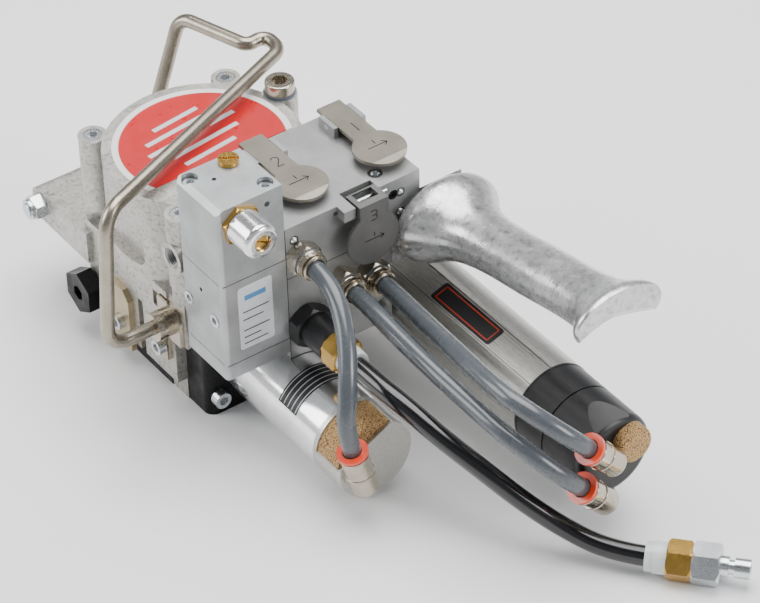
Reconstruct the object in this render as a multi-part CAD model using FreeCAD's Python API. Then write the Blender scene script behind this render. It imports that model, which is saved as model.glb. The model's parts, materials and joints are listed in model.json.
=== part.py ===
import FreeCAD, Part
import math
import os

# Pneumatic combination strapping tool: cast gear housing, two air motors, valve block with three levers,
# timer valve, suspension bail, cast handle and air hoses.
#
# Everything is laid out from three datum planes: X = 0 is the rear face of the valve block (+X towards the
# motors' rear ends), Y = 0 is the timer's outer side (+Y towards the handle side) and Z = 0 is the sole.
# ORIGIN_SHIFT then moves every piece so that the origin is the middle of the tool's base.

V = FreeCAD.Vector
AX = V(1, 0, 0)
AY = V(0, 1, 0)
AZ = V(0, 0, 1)

# ---------------------------------------------------------------- driving dimensions, mm
ORIGIN_SHIFT = V(9.25, -63.22, 0)
RUNNING = 0.05               # radial clearance of a shaft, pin or piston that moves in its bore
FAR = 400.0                  # longer than the tool, for cutting boxes

# round piston housing and its cover
DRUM = V(-94.5, 51.6, 0)
DRUM_R = 54.0
DRUM_BOTTOM, COVER_BOTTOM, COVER_TOP = 75.0, 124.0, 130.0
EAR_PITCH = 42.4
EAR_R = 8.0
LABEL_R = 48.5
LABEL_CHORD_X = -77.0
PLUG_AT = V(-107.6, 109.8, 0)
PLUG_BOSS_R = 9.5
PISTON_R = 25.0
ROD_R = 6.0

# lower body
BODY_X0, BODY_X1 = -146.0, -57.0
BODY_Y0, BODY_Y1 = 3.0, 100.0
SLOT_FLOOR, SLOT_ROOF, SLOT_BACK = 8.0, 14.0, 48.0
SIDE_PORT = V(-50.0, 0, 105.0)
LUG_BOLT = V(-185.5, 0, 57.5)
WHEEL_AT = V(-122.0, 0, 26.3)
WHEEL_R = 13.3
ECCENTRIC_AT = V(-139.0, 0, 28.4)
FOOT_SCREW_AT = V(-36.5, 15.5, 12.0)
WEAR_SCREW_AT = V(-106.5, -0.5, 27.0)
CLAMP_SCREW_AT = V(-65.7, 0, 36.3)
BAIL_FOOT = V(-60.0, 0, 56.0)

# valve block, port block and timer
BLOCK_X0, BLOCK_Y0, BLOCK_Y1 = -69.0, 39.5, 124.5
BLOCK_Z0, BLOCK_Z1 = 104.0, 136.5
PORT_X0, PORT_Y1, PORT_Z0 = -34.0, 104.5, 46.5
SPARE_PORT = V(0, 98.2, 57.9)
TIMER_X0 = -38.5
TIMER_Z = (55.5, 65.0, 117.5, 166.0)
REGULATOR = V(0, 13.5, 153.5)
THROTTLE = V(-32.0, 28.5, 166.0)

# levers
PIVOT_X, PIVOT_Z = -55.0, 140.0
LEVER_Y = (114.25, 64.5)
LEVER_HALF = 7.3
PLATE_Z0, PLATE_Z1 = 141.0, 143.0
PADDLE_X, PADDLE_R = -21.0, 14.5
PLUNGER_X = -24.0
PIN_R = 1.5
PLUNGER_R = 3.0
HANG_PIVOT = V(-0.8, 0, 132.5)
HANG_PADDLE = V(8.0, 87.5, 115.0)
HANG_R = 16.0

# motors
WELD_AXIS = V(0, 43.8, 27.4)
WELD_R = 23.3
WELD_X0, WELD_SHELL_X1, WELD_X1 = -57.0, 45.5, 69.0
WELD_WINDOW = V(0, -0.45, 0.893)
WELD_WINDOW_OFFSET = 12.7
TENSION_AXIS = V(0, 130.0, 46.0)
TENSION_R = 24.0
TENSION_X0, TENSION_SHELL_X1, TENSION_X1 = -36.0, 106.3, 159.0
FACET_ANGLES = (18, 108, 198, 288)
FACET_DISTANCE = 22.7
SHAFT_R = 5.0
PORT_BOSS_X0 = 128.0
PORT_BOSS_R = 7.5
REAR_SILENCER = V(154.0, 138.1, 53.9)
REAR_SILENCER_R = 10.5
REAR_SILENCER_LENGTH = 12.5

# fittings: hex fittings on the blocks' rear face, elbows with release rings on the motors
FITTINGS = (V(0, 48, 116.5), V(0, 71.9, 88), V(0, 90.4, 85))
INLET = V(0, 50, 71.5)
HOSE_R = 5.0
SUPPLY_R = 5.5
RING_TRAVEL_GAP = 3.1        # from a release ring's outer face to the mouth of its elbow
HOSE_STOP = 8.0              # from a release ring's outer face to where the hose ends inside
WELD_RING = V(77, 24.1, 49.1)
WELD_RING_IN = V(0, 0.254, -0.967).normalize()
WELD_ELBOW_REACH = 24.0      # from the ring to the axis of the weld elbow's stem
UPPER_RING = V(168, 105.6, 71.5)
LOWER_RING = V(168, 101.2, 47.7)
REAR_RING_IN = V(0, 0.665, -0.747).normalize()
REAR_ELBOW_REACH = 19.0      # from a rear ring to the axis of its elbow's stem
STEM_R = 4.5
PLUG_START = V(196, 121, 10.4)
PLUG_DIR = V(0.743, 0.669, 0).normalize()
PLUG_HEX_LENGTH = 14.5

# handle: oval stations (x, centre z, half width, half height) about the plane Y = HANDLE_Y
HANDLE_Y = 134.5
HANDLE_STATIONS = ((0.3, 104.5, 23, 18.5), (3, 104.5, 27.5, 22.3), (7, 105, 30.6, 24.6),
                   (11, 105.5, 31.2, 24.6), (20, 107, 27, 21.5), (32, 109.4, 20.2, 16.6),
                   (50, 113, 16.4, 14.4), (93, 121.5, 16.1, 14.3), (130, 128.9, 16.4, 14.6),
                   (140, 131, 18.6, 15), (147, 133, 23.2, 15.8), (152, 134.4, 26.6, 16.2),
                   (155, 135, 26.0, 15.4))
HANDLE_SCREW_X = (-22.0, -8.0)
HANDLE_SCREW_Z = 94.0
HANDLE_SIDE = 150.0
ROOT_OUTLINE = ((-30, 84), (2, 84), (2, 126), (-30, 94))    # x and z, beside the valve block
LIP_TOP = V(155, 132, 136)   # highest line of the hollow under the handle's lip
LIP_R = 60.0

# hose routes
WELD_HOSE = ((9, 48, 116.5), (24, 48, 116.5), (41, 44.5, 110.5), (57.5, 37, 99.5), (70.5, 27.5, 84),
             (77, 20.5, 62.8), (77, 26.13, 41.36))
UPPER_HOSE = ((9, 90.4, 85), (26, 90.4, 85), (47.5, 87.7, 87.6), (76, 84.2, 91.6), (105, 80.6, 95.4),
              (133.7, 77.8, 98.5), (149.1, 81.6, 96.1), (161.3, 89.2, 89.1), (168, 99.3, 78.6),
              (168, 110.92, 65.52))
LOWER_HOSE = ((9, 71.9, 88), (25, 71.9, 88), (47.3, 71.1, 86.2), (76, 70.7, 84.2), (106, 71.8, 81.6),
              (136.5, 72.9, 79.6), (151, 77.3, 74.6), (162.1, 85, 65.9), (168, 94.9, 54.8),
              (168, 106.52, 41.72))
SUPPLY_HOSE = ((46, 50, 71.5), (64, 50, 71.5), (84, 53, 69), (106, 58.5, 61), (127, 69, 48.5),
               (144, 81.5, 32.5), (161, 96, 17.6), (181.7, 108.3, 11), (196, 121, 10.4))

# bail: straight lengths of wire and the bend radius at each corner between them
BAIL_R = 3.9
BAIL_ROUTE = ((-60, -0.6, 56), (-60, -35.8, 56), (-63, -28, 140), (-128.5, 125, 140), (-144, 125.2, 140),
              (-142.5, 112.4, 140), (-187.5, 98, 140), (-185.8, 72.4, 76), (-185.5, 71.95, 60))
BAIL_BENDS = (11, 13, 11, 5.3, 5.0, 9, 30)


# ---------------------------------------------------------------- small builders
def box(x0, x1, y0, y1, z0, z1):
    return Part.makeBox(x1 - x0, y1 - y0, z1 - z0, V(x0, y0, z0))


def cyl(base, axis, radius, length):
    return Part.makeCylinder(radius, length, V(base), V(axis))


def ring(base, axis, outer, inner, length):
    return cyl(base, axis, outer, length).cut(cyl(base, axis, inner, length))


def across(axis):
    """Two unit vectors square to the axis, the first as near to +Z as it can be."""
    w = V(axis).normalize()
    up = AZ if abs(w.z) < 0.9 else AX
    u = (up - w * up.dot(w)).normalize()
    return u, w.cross(u)


def prism(base, axis, flats, length, turn=0.0):
    """Hexagonal bar of a width across flats, with a corner on top unless it is turned."""
    u, v = across(axis)
    corner = flats / math.sqrt(3)
    angles = [math.radians(turn + 60 * k) for k in range(6)]
    points = [V(base) + u * (corner * math.cos(a)) + v * (corner * math.sin(a)) for a in angles]
    face = Part.Face(Part.makePolygon(points + points[:1]))
    return face.extrude(V(axis).normalize() * length)


def nut(base, axis, flats, length, turn=0.0):
    """Hexagonal bar whose corners are turned down at both ends."""
    corner = flats / math.sqrt(3)
    blank = cyl(base, axis, corner, length)
    rims = [e for e in blank.Edges if e.Curve.TypeId == "Part::GeomCircle"]
    return prism(base, axis, flats, length, turn).common(blank.makeChamfer(0.9 * (corner - flats / 2), rims))


def fuse(shapes):
    return shapes[0].multiFuse(list(shapes[1:]))


def cut(shape, tools):
    return shape.cut(list(tools))


def at(point, x=None, y=None, z=None):
    """The point with some of its coordinates replaced."""
    return V(point.x if x is None else x, point.y if y is None else y, point.z if z is None else z)


def line_along(edge, axis):
    return edge.Curve.TypeId == "Part::GeomLine" and abs(edge.tangentAt(edge.FirstParameter).dot(axis)) > 0.99


def soften(shape, radius, wanted):
    """The shape with the wanted edges rounded."""
    return shape.makeFillet(radius, [e for e in shape.Edges if wanted(e)])


def turned_box(size, low, axis_at, angle):
    """A box given about the X axis, turned about it and moved to the line through axis_at."""
    block = Part.makeBox(size[0], size[1], size[2], V(*low))
    block.rotate(V(0, 0, 0), AX, angle)
    block.translate(V(0, axis_at.y, axis_at.z))
    return block


def socket_screw(seat, out, head_r, head_h, shank_r, shank_len):
    """Cap screw: its head stands on the seat and points out, its shank goes in."""
    out = V(out).normalize()
    head = cyl(seat, out, head_r, head_h)
    socket = prism(V(seat) + out * (0.45 * head_h), out, 1.05 * head_r, head_h)
    shank = cyl(V(seat) - out * shank_len, out, shank_r, shank_len)
    return head.cut(socket).fuse(shank)


def slotted_head(seat, out, radius, height, slot, turn):
    """Flat cylindrical screw head with a screwdriver slot."""
    u, v = across(out)
    head = cyl(seat, out, radius, height)
    top = V(seat) + V(out) * height
    cutter = Part.makeBox(2.4 * radius, slot, 2 * slot, V(-1.2 * radius, -slot / 2, -slot))
    axes = FreeCAD.Rotation(u, v, V(out), "XYZ")
    cutter.Placement = FreeCAD.Placement(top, axes.multiply(FreeCAD.Rotation(AZ, turn)))
    return head.cut(cutter)


def bent_path(points, setback_of):
    """Straight runs joined by tangent arcs, with the radii; setback_of gives where each arc begins."""
    pts = [V(*p) for p in points]
    edges = []
    radii = []
    here = pts[0]
    for index, (before, corner, after) in enumerate(zip(pts, pts[1:], pts[2:])):
        d_in = (corner - before).normalize()
        d_out = (after - corner).normalize()
        half = d_in.getAngle(d_out) / 2
        setback = setback_of(index, min((corner - before).Length, (after - corner).Length), half)
        radius = setback / math.tan(half)
        radii.append(radius)
        start = corner - d_in * setback
        end = corner + d_out * setback
        middle = corner + (d_out - d_in).normalize() * (radius / math.cos(half) - radius)
        edges.append(Part.LineSegment(here, start).toShape())
        edges.append(Part.Arc(start, middle, end).toShape())
        here = end
    edges.append(Part.LineSegment(here, pts[-1]).toShape())
    return Part.Wire(edges), radii


def sweep(path, points, radius):
    direction = V(*points[1]) - V(*points[0])
    section = Part.Wire(Part.makeCircle(radius, V(*points[0]), direction))
    return path.makePipeShell([section], True, False)


def hose(name, points, radius):
    """Round hose whose every bend is as large as its two runs allow."""
    path, radii = bent_path(points, lambda index, run, half: 0.45 * run)
    solid = sweep(path, points, radius)
    ratio = solid.Volume / (math.pi * radius ** 2 * path.Length)
    print(f"{name}: {path.Length:.1f} long, bend radii {[round(r) for r in radii]}, volume ratio {ratio:.4f}")
    return solid


# ---------------------------------------------------------------- gear housing
def ears(z):
    places = ((-1, -1), (-1, 1), (1, -1))
    return [V(DRUM.x + sx * EAR_PITCH, DRUM.y + sy * EAR_PITCH, z) for sx, sy in places]


def ear_columns(z0, z1, radius):
    return [cyl(place, AZ, radius, z1 - z0) for place in ears(z0)]


def under_valve_block():
    return box(BLOCK_X0, FAR, BLOCK_Y0, FAR, BLOCK_Z0, FAR)


def weld_motor_room(gap):
    return cyl(at(WELD_AXIS, x=WELD_X0), AX, WELD_R + gap, 90)


def housing_solids():
    drum = cyl(at(DRUM, z=DRUM_BOTTOM - 5), AZ, DRUM_R, COVER_BOTTOM - DRUM_BOTTOM + 5)
    boss = cyl(at(PLUG_AT, z=84), AZ, PLUG_BOSS_R, COVER_TOP - 84)
    body = box(BODY_X0, BODY_X1, BODY_Y0, BODY_Y1, SLOT_FLOOR, DRUM_BOTTOM)
    body = soften(body, 5.0, lambda e: line_along(e, AZ) and e.CenterOfMass.x < BODY_X0 + 1)
    seam = box(BODY_X0 + 6, BODY_X1 - 3, BODY_Y0 - 1.2, BODY_Y0 + 2, DRUM_BOTTOM - 4, DRUM_BOTTOM)
    shoulder = box(BODY_X1 - 8, -44, BODY_Y0, 39, 46, DRUM_BOTTOM)
    leg = box(-72, BODY_X1, 9, 23, 0, SLOT_ROOF + 2)
    lug = box(-195, BODY_X0 + 8, 0, 68, 46, 66)
    lug = soften(lug, 6.0, lambda e: line_along(e, AY) and e.CenterOfMass.x < -190)
    side_port = cyl(at(SIDE_PORT, y=1), AY, 9.0, 28)
    column = cyl(V(SIDE_PORT.x, 9, DRUM_BOTTOM - 2), AZ, 8.0, SIDE_PORT.z - DRUM_BOTTOM)
    return [drum, *ear_columns(84, COVER_BOTTOM, EAR_R), boss, body, seam, shoulder, leg, lug,
            side_port, column]


def housing_cuts():
    piston_bore = cyl(at(DRUM, z=86), AZ, PISTON_R, FAR)
    rod_bore = cyl(at(DRUM, z=0), AZ, ROD_R + RUNNING, FAR)
    strap_slot = box(-FAR, FAR, -FAR, SLOT_BACK, -1, SLOT_ROOF).cut(box(-72, BODY_X1, 9, 23, -2, SLOT_ROOF))
    wheel_pocket = box(-137, -107, 8.5, 26, SLOT_FLOOR - 1, 41)
    block_pocket = box(-137, -107, 25, 60, SLOT_FLOOR - 1, 39)
    window = box(-132.5, -116, BODY_Y0 - 2, 9, SLOT_ROOF, 36)
    jaw_pocket = box(-108, -82, 9, 63, SLOT_FLOOR - 1, 24.5)
    journal_bore = cyl(at(ECCENTRIC_AT, y=BODY_Y0 - 2), AY, SHAFT_R + RUNNING, 9)
    recess = soften(box(-120, -77, -20, 3.5, 82, 119), 5.0, lambda e: line_along(e, AY))
    slot_recess = box(-76, -69, -20, 6, 57, 67)
    groove = box(-93, -88, -20, 8, SLOT_ROOF, 50)
    plug_bore = cyl(at(PLUG_AT, z=112), AZ, 6.0, 30)
    screw_bores = ear_columns(112, COVER_BOTTOM, 2.5)
    threads = [cyl(at(WEAR_SCREW_AT, y=0), AY, 2.5, 10), cyl(at(CLAMP_SCREW_AT, y=0), AY, 2.5, 12)]
    side_thread = cyl(SIDE_PORT, AY, 6.0, 13)
    lug_bore = cyl(at(LUG_BOLT, y=-1), AY, 4.1, 70)
    return [under_valve_block(), weld_motor_room(0.6), piston_bore, rod_bore, strap_slot, wheel_pocket,
            block_pocket, window, jaw_pocket, journal_bore, recess, slot_recess, groove, plug_bore,
            *screw_bores, *threads, side_thread, lug_bore]


def gear_housing():
    return cut(fuse(housing_solids()), housing_cuts())


def gear_case():
    """Case of the gear train between the tension motor and the feed wheel, bolted to the far side."""
    case = box(BODY_X1 - 15, TENSION_X0, BODY_Y1, 156, 20, DRUM_BOTTOM - 5)
    return soften(case, 9.0, lambda e: line_along(e, AX) and e.CenterOfMass.y > BODY_Y1 + 10)


def housing_cover():
    disc = cyl(at(DRUM, z=COVER_BOTTOM), AZ, DRUM_R, COVER_TOP - COVER_BOTTOM)
    cover = fuse([disc, *ear_columns(COVER_BOTTOM, COVER_TOP, EAR_R)])
    sunk_heads = ear_columns(COVER_TOP - 4, FAR, 5.2)
    shanks = ear_columns(0, FAR, 2.7)
    plug_gap = cyl(at(PLUG_AT, z=0), AZ, PLUG_BOSS_R + 0.3, FAR)
    return cut(cover, [under_valve_block(), plug_gap, *sunk_heads, *shanks])


def cover_label():
    disc = cyl(at(DRUM, z=COVER_TOP), AZ, LABEL_R, 0.4)
    return disc.cut(box(LABEL_CHORD_X, FAR, -FAR, FAR, 0, FAR))


def port_plug():
    head = cyl(at(PLUG_AT, z=COVER_TOP + 1.8), AZ, 8.2, 6.2)
    head = soften(head, 1.0, lambda e: e.CenterOfMass.z > COVER_TOP + 7 and e.Length > 40)
    socket = prism(at(PLUG_AT, z=COVER_TOP + 4), AZ, 8.0, 10)
    stem = cyl(at(PLUG_AT, z=COVER_TOP - 16), AZ, 5.9, 17.8)
    return head.cut(socket).fuse(stem)


def port_plug_seal():
    return ring(at(PLUG_AT, z=COVER_TOP), AZ, 8.6, 6.0, 1.8)


def socket_screws():
    """The small cap screws: cover, foot, wear plate, bail clamp, handle and valve block."""
    out_y = AY * -1
    screws = [socket_screw(place, AZ, 4.9, 3.8, 2.45, 13) for place in ears(COVER_TOP - 4)]
    screws.append(socket_screw(FOOT_SCREW_AT, AX, 4.8, 5.0, 2.45, 10))
    screws.append(socket_screw(WEAR_SCREW_AT, out_y, 4.5, 4.0, 2.45, 9))
    screws.append(socket_screw(CLAMP_SCREW_AT, out_y, 4.5, 4.0, 2.45, 11))
    for x in HANDLE_SCREW_X:
        screws.append(socket_screw((x, HANDLE_SIDE - 5, HANDLE_SCREW_Z), AY, 4.4, 4.6, 2.45, 52))
    screws.append(socket_screw((-11, 104, BLOCK_Z1 - 3), AZ, 3.9, 2.9, 1.9, 5))
    return Part.makeCompound(screws)


# ---------------------------------------------------------------- pieces low on the side
def front_bolt():
    shank = cyl(at(LUG_BOLT, y=-10), AY, 4.0, 85.2)
    return shank.fuse(nut(at(LUG_BOLT, y=75.2), AY, 13, 5.3))


def front_nut():
    hexagon = nut(at(LUG_BOLT, y=-7), AY, 13, 7)
    collar = cyl(at(LUG_BOLT, y=-9), AY, 5.9, 2)
    return hexagon.fuse(collar).cut(cyl(at(LUG_BOLT, y=-12), AY, 4.02, 20))


def base_plate():
    plate = box(-135, -72, 8.5, 96, 0, SLOT_FLOOR)
    return soften(plate, 3.0, lambda e: line_along(e, AY) and e.CenterOfMass.x < -130)


def foot_block():
    block = box(BODY_X1, FOOT_SCREW_AT.x, 9.5, 62, 0, 45.5)
    block = soften(block, 6.0,
                   lambda e: line_along(e, AZ) and e.CenterOfMass.x > -40 and e.CenterOfMass.y < 12)
    screw_bore = cyl(FOOT_SCREW_AT, AX * -1, 2.5, 10.5)
    far_horn = box(-FAR, FAR, 45, FAR, 26, FAR)
    return cut(block, [weld_motor_room(0.4), screw_bore, far_horn])


def wear_plate():
    outline = ((-115, 14), (-111, 10), (-98, 10), (-98, 44), (-103, 50), (-115, 50))
    points = [V(x, WEAR_SCREW_AT.y, z) for x, z in outline]
    plate = Part.Face(Part.makePolygon(points + points[:1])).extrude(V(0, 3.5, 0))
    return plate.cut(cyl(at(WEAR_SCREW_AT, y=-5), AY, 2.5, 20))


def bail_clamp():
    plate = box(-67, -46, 0, 3, 47, 70)
    tab = box(-71, -60.5, 0, 3, 29, 50)
    boss = cyl(at(BAIL_FOOT, y=-8), AY, 8.0, 9)
    clamp = fuse([plate, tab, boss])
    socket = cyl(at(BAIL_FOOT, y=-9), AY, BAIL_R + 0.05, 8.4)
    return cut(clamp, [socket, cyl(at(CLAMP_SCREW_AT, y=-5), AY, 2.5, 20)])


def bail():
    """Rigid suspension bail of round wire, from the side clamp over the cover to an eye on the front bolt."""
    path, radii = bent_path(BAIL_ROUTE, lambda index, run, half: BAIL_BENDS[index] * math.tan(half))
    wire = sweep(path, BAIL_ROUTE, BAIL_R)
    eye_at = at(LUG_BOLT, y=68)
    wire = wire.cut(cyl(eye_at, AY, 7, 8))
    return wire.fuse(ring(eye_at, AY, 9.5, 4.1, 7)).cut(cyl(at(LUG_BOLT, y=75), AY, 9, 10))


def hex_eccentric():
    head = prism(at(ECCENTRIC_AT, y=-8), AY, 23, 9.4)
    washer = cyl(at(ECCENTRIC_AT, y=1.4), AY, 8.0, 1.0)
    journal = cyl(at(ECCENTRIC_AT, y=2.4), AY, SHAFT_R, 6.0)
    socket = prism(at(ECCENTRIC_AT, y=-9), AY, 8, 6)
    return fuse([head, washer, journal]).cut(socket)


def feed_wheel():
    root_r = WHEEL_R - 0.7
    wheel = cyl(at(WHEEL_AT, y=10), AY, root_r, 14)
    teeth = []
    for k in range(40):
        tooth = box(root_r - 0.6, WHEEL_R, 10, 24, -0.45, 0.45)
        tooth.rotate(V(0, 0, 0), AY, 9 * k)
        tooth.translate(WHEEL_AT)
        teeth.append(tooth)
    shaft = cyl(at(WHEEL_AT, y=24), AY, ROD_R, 32)
    return fuse([wheel, shaft, *teeth])


def feed_bearing_block():
    block = box(-136, -108, 27, 57, 16, 38)
    block = soften(block, 2.0, lambda e: line_along(e, AY))
    return block.cut(cyl(at(WHEEL_AT, y=20), AY, ROD_R + RUNNING, 60))


def clamp_piston():
    disc = cyl(at(DRUM, z=96), AZ, PISTON_R - 0.08, 12)
    groove = ring(at(DRUM, z=100.5), AZ, PISTON_R + 1, PISTON_R - 2, 3)
    rod = cyl(at(DRUM, z=24), AZ, ROD_R, 74)
    return disc.cut(groove).fuse(rod)


def weld_jaw():
    jaw = box(-106, -84, 12, 60, 13.2, 23.5)
    grooves = [box(-110, -80, y, y + 1, 13, 13.9) for y in range(14, 59, 2)]
    return cut(jaw, grooves)


# ---------------------------------------------------------------- valve block, levers and plungers
def top_lug_pairs():
    lugs = []
    for y in LEVER_Y:
        for y0, y1 in ((y - 10.25, y - 7.55), (y + 7.55, y + 10.25)):
            lugs.append(box(-62, -48, y0, y1, BLOCK_Z1 - 1, 143))
    return lugs


def valve_block():
    body = box(BLOCK_X0, 0, BLOCK_Y0, BLOCK_Y1, BLOCK_Z0, BLOCK_Z1)
    hang_lug = box(-9, 7, 72, 79, 130, BLOCK_Z1)
    block = fuse([body, *top_lug_pairs(), hang_lug])
    cuts = [box(-8, 1, 79, 98.5, 128, FAR)]
    for y in LEVER_Y:
        cuts.append(cyl((PIVOT_X, y - 12, PIVOT_Z), AY, PIN_R + 0.02, 24))
        cuts.append(cyl((PLUNGER_X, y, 124), AZ, PLUNGER_R + RUNNING, 20))
    cuts.append(cyl(at(HANG_PIVOT, y=70), AY, PIN_R + 0.02, 34))
    cuts.append(cyl((-13, HANG_PADDLE.y, 114), AX, PLUNGER_R + RUNNING, 20))
    cuts.append(cyl((-11, 104, BLOCK_Z1 - 3), AZ, 4.1, 10))
    cuts.append(cyl((-11, 104, BLOCK_Z1 - 9), AZ, 1.95, 10))
    cuts.append(cyl((1, 107.4, 127.4), AX * -1, 3.0, 3))
    return cut(block, cuts)


def port_block():
    block = box(PORT_X0, 0, BLOCK_Y0, PORT_Y1, PORT_Z0, BLOCK_Z0)
    port = cyl(at(SPARE_PORT, x=-9), AX, 4.5, 12)
    threads = [cyl((x, PORT_Y1 - 13, HANDLE_SCREW_Z), AY, 2.5, 20) for x in HANDLE_SCREW_X]
    return cut(block, [weld_motor_room(0.5), port, *threads])


def lever_pins():
    pins = [cyl((PIVOT_X, y - 10.25, PIVOT_Z), AY, PIN_R, 20.5) for y in LEVER_Y]
    pins.append(cyl(at(HANG_PIVOT, y=72.4), AY, PIN_R, 31))
    return Part.makeCompound(pins)


def top_lever(y):
    """Push lever on top of the block: tail, knuckle on its pin, neck, and a round paddle with a bent tip."""
    strip = box(-68, PADDLE_X, y - LEVER_HALF, y + LEVER_HALF, PLATE_Z0, PLATE_Z1)
    paddle = cyl((PADDLE_X, y, PLATE_Z0), AZ, PADDLE_R, PLATE_Z1 - PLATE_Z0)
    crease_x = PADDLE_X + 9.5
    flat = paddle.cut(box(crease_x, FAR, -FAR, FAR, 0, FAR))
    tip = paddle.common(box(crease_x, FAR, -FAR, FAR, 0, FAR))
    tip.rotate(V(crease_x, y, PLATE_Z1), AY, 7)
    knuckle = cyl((PIVOT_X, y - LEVER_HALF, PIVOT_Z), AY, 2.8, 2 * LEVER_HALF)
    lever = fuse([strip, flat, tip, knuckle])
    return lever.cut(cyl((PIVOT_X, y - 9, PIVOT_Z), AY, PIN_R + RUNNING, 18))


def hanging_lever():
    """Push lever that hangs on the rear face: a slotted roof over its pin and a round paddle below."""
    y0, y1 = 79.7, 97.7
    roof = box(-3, 10, y0, y1, 135.5, 137.5).cut(box(-2, 5.5, y0 + 3, y1 - 3, 130, 140))
    plate = box(8, 10, y0, y1, HANG_PADDLE.z, 136)
    paddle = cyl(HANG_PADDLE, AX, HANG_R, 2)
    cheeks = []
    for side in (y0, y1 - 2):
        cheek = cyl(at(HANG_PIVOT, y=side), AY, 3.3, 2).fuse(box(-0.8, 8.5, side, side + 2, 131, 136))
        cheeks.append(cheek)
    lever = fuse([roof, plate, paddle, *cheeks])
    return lever.cut(cyl(at(HANG_PIVOT, y=70), AY, PIN_R + RUNNING, 34))


def top_plunger(y):
    plunger = cyl((PLUNGER_X, y, 126.5), AZ, PLUNGER_R, 14)
    return soften(plunger, 0.5, lambda e: e.CenterOfMass.z > 140 and e.Length > 10)


def rear_plunger():
    return cyl((-10, HANG_PADDLE.y, 114), AX, PLUNGER_R, 17.3)


# ---------------------------------------------------------------- timer
def timer_slab(level):
    slab = box(TIMER_X0, 0, 0, BLOCK_Y0, TIMER_Z[level], TIMER_Z[level + 1])
    return soften(slab, 2.5, lambda e: line_along(e, AZ) and e.CenterOfMass.y < 1)


def timer_top():
    edge_cut = turned_box((FAR, 4.2, 4.2), (-200, -2.1, -2.1), V(0, 0, TIMER_Z[3]), 45)
    cuts = [edge_cut, cyl(at(THROTTLE, z=157), AZ, PLUNGER_R + RUNNING, 20),
            cyl((-24.7, 14.8, 156), AZ, 1.3, 20), cyl(at(REGULATOR, x=-9), AX, SHAFT_R + RUNNING, 20),
            cyl((-3, 30, 158), AX, 1.7, 10)]
    for x, y in ((-33, 5.5), (-7, 34)):
        cuts.append(cyl((x, y, 160), AZ, 4.4, 20))
    return cut(timer_slab(2), cuts)


def timer_body():
    counterbores = [cyl((x, -1, 90.5), AY, 4.0, 4) for x in (-33, -9)]
    return cut(timer_slab(1), [*counterbores, cyl((-20.6, -1, 104), AY, 1.3, 6)])


def screw_head(seat, out):
    """Head of a socket screw whose shank is hidden in the piece below it."""
    head = cyl(seat, out, 3.8, 3.4)
    return head.cut(prism(V(seat) + V(out) * 1.4, out, 4.0, 4))


def timer_screws():
    on_top = [screw_head((x, y, 160), AZ) for x, y in ((-33, 5.5), (-7, 34))]
    on_side = [screw_head((x, 3, 90.5), AY * -1) for x in (-33, -9)]
    return Part.makeCompound(on_top + on_side)


def timer_label():
    label = box(0, 0.3, 9, 30, 72, 112.5)
    return soften(label, 1.5, lambda e: line_along(e, AX))


def throttle_screw():
    head = slotted_head(at(THROTTLE, z=THROTTLE.z + 0.3), AZ, 5.5, 2.4, 1.1, 55)
    return head.fuse(cyl(at(THROTTLE, z=158.5), AZ, PLUNGER_R, 8))


def regulator_collar():
    return prism(REGULATOR, AX, 20, 2.8, turn=10).cut(cyl(at(REGULATOR, x=-1), AX, SHAFT_R + RUNNING, 6))


def regulator_cap():
    barrel = cyl(at(REGULATOR, x=3.1), AX, 10, 17.4)
    barrel = soften(barrel, 3.0, lambda e: e.CenterOfMass.x > 19 and e.Length > 40)
    stem = cyl(at(REGULATOR, x=-8), AX, SHAFT_R, 12)
    well = cyl(at(REGULATOR, x=14.5), AX, 4.9, 10)
    bore = cyl(at(REGULATOR, x=5), AX, 2.0 + RUNNING, 20)
    return cut(barrel.fuse(stem), [well, bore])


def regulator_screw():
    head = slotted_head(at(REGULATOR, x=14.8), AX, 4.5, 3.6, 1.1, 60)
    return head.fuse(cyl(at(REGULATOR, x=5.5), AX, 2.0, 9.5))


# ---------------------------------------------------------------- motors
def rotor(axis, x0, x1, core_x0, core_x1):
    """Vane motor rotor on its shaft, with five vane slots."""
    core = cyl(at(axis, x=core_x0), AX, 16.5, core_x1 - core_x0)
    shaft = cyl(at(axis, x=x0), AX, SHAFT_R, x1 - x0)
    length = core_x1 - core_x0
    slots = [turned_box((length + 2, 2, 9), (core_x0 - 1, -1, 9.5), axis, 72 * k) for k in range(5)]
    return cut(core.fuse(shaft), slots)


def tension_motor_housing():
    length = TENSION_SHELL_X1 - TENSION_X0
    shell = cyl(at(TENSION_AXIS, x=TENSION_X0), AX, TENSION_R, length)
    cuts = [cyl(at(TENSION_AXIS, x=TENSION_X0 + 8), AX, 18.5, length),
            cyl(at(TENSION_AXIS, x=TENSION_X0 - 1), AX, SHAFT_R + RUNNING, 20)]
    for angle in FACET_ANGLES:
        cuts.append(turned_box((FAR, 60, 20), (-200, -30, FACET_DISTANCE), TENSION_AXIS, angle - 90))
    return cut(shell, cuts)


def rear_elbow_centres():
    return [ring_at + REAR_RING_IN * REAR_ELBOW_REACH for ring_at in (UPPER_RING, LOWER_RING)]


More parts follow.
